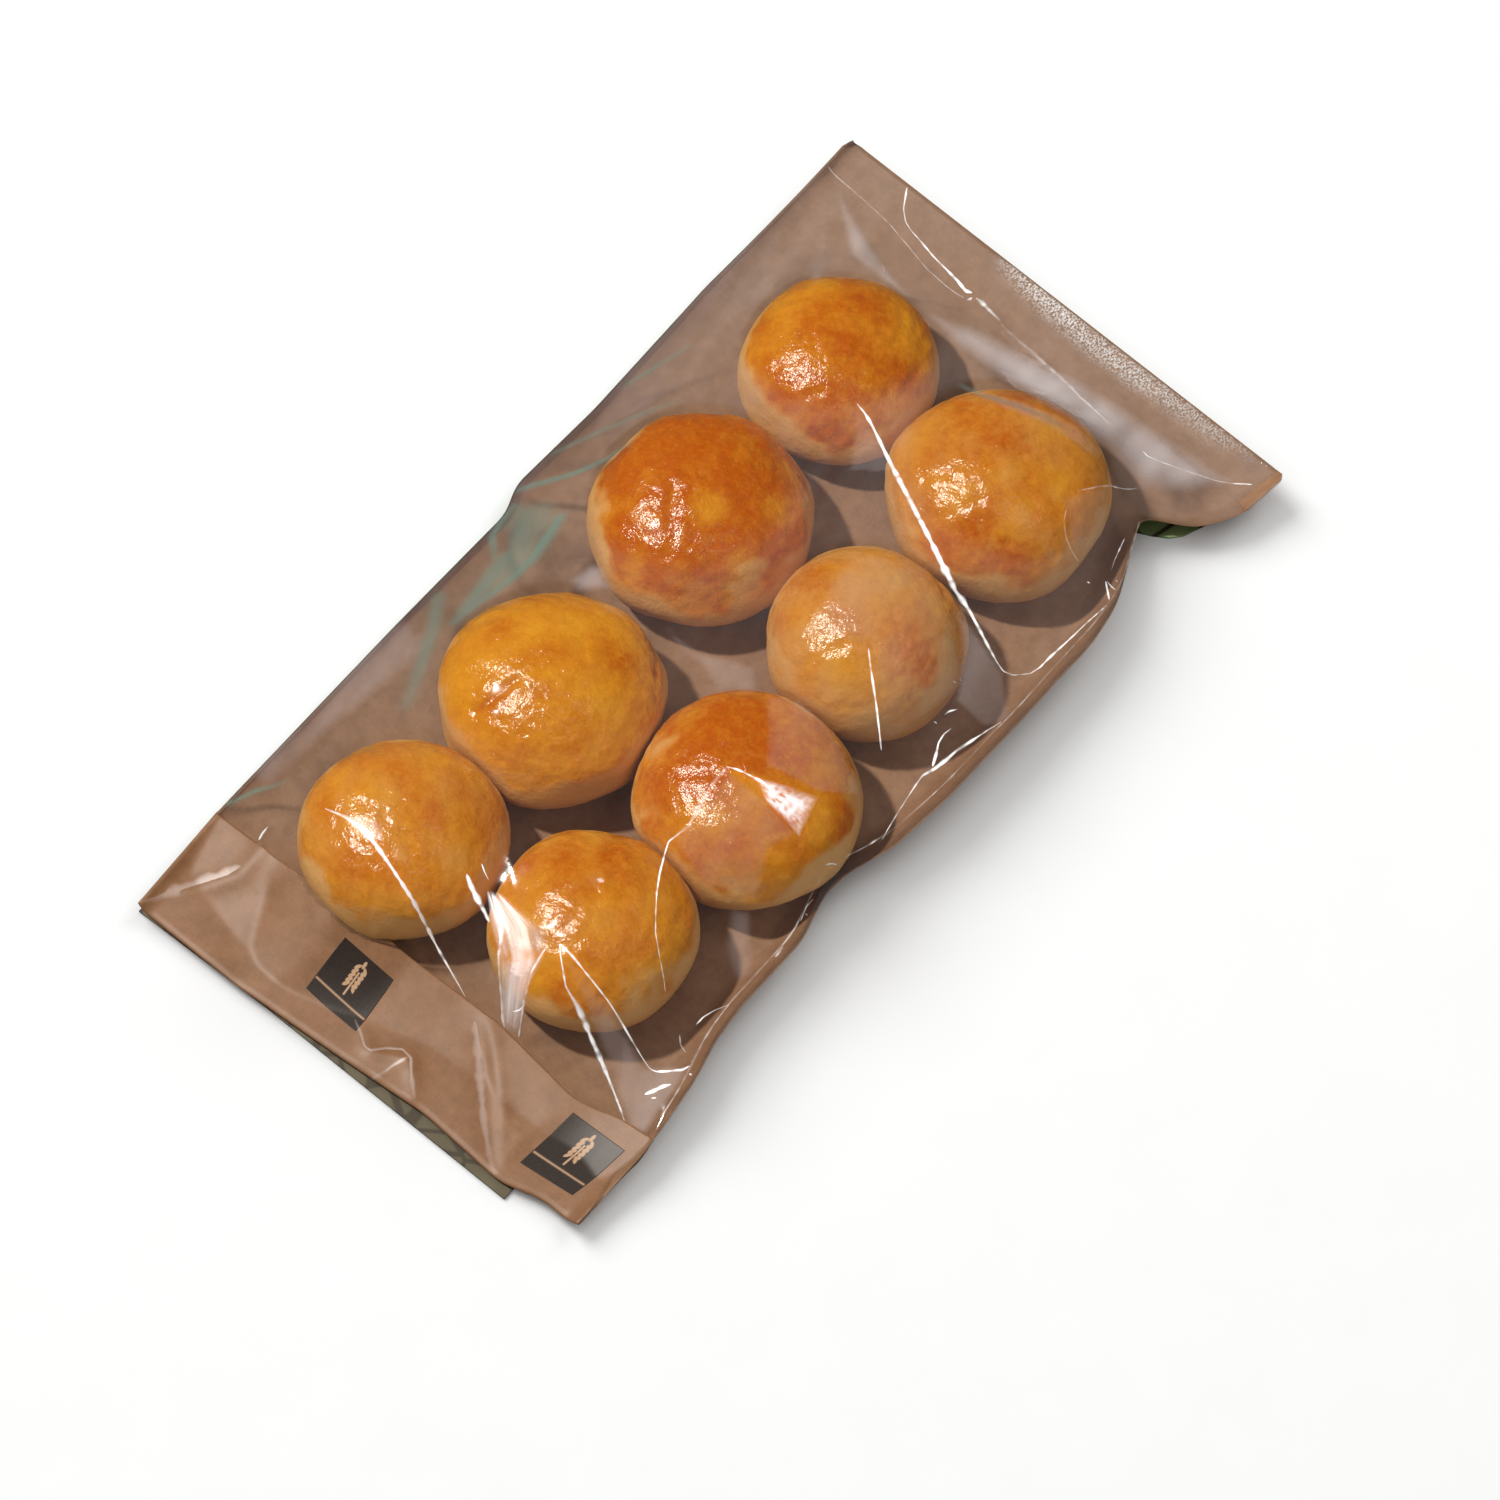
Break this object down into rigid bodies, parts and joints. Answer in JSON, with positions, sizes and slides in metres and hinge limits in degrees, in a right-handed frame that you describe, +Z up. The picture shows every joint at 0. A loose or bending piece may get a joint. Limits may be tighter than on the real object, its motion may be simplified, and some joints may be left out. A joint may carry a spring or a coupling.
{
  "type": "bag of brioche slider buns",
  "caption": "Shut window bag of small glossy brioche slider buns: kraft paper back, folded paper band and clear crinkled film front, lying flat.",
  "frame": {"origin": "on the surface that the bag lies on, under the middle of its box", "axes": "+Y along the bag from its folded band to its sealed end, +X across it, +Z up through the film front"},
  "size_m": [0.1805, 0.3385, 0.0406],
  "materials": {
    "clear_film": "glossy thin polypropylene film with crisp creases",
    "bun_crust": "egg-washed golden brioche crust, semi-gloss, paler at the sides",
    "kraft_paper": "calendered brown kraft paper, faint satin sheen, soft creases",
    "printed_paper": "kraft paper printed in green on its outer side"
  },
  "bodies": {
    "root": {"filled_bag": "clear_film", "near_left_bun": "bun_crust", "near_right_bun": "bun_crust", "second_left_bun": "bun_crust", "second_right_bun": "bun_crust", "third_left_bun": "bun_crust", "third_right_bun": "bun_crust", "far_left_bun": "bun_crust", "far_right_bun": "bun_crust", "paper_bag": "kraft_paper", "turned_tail": "printed_paper", "side_tuck": "printed_paper"}
  },
  "joints": []
}
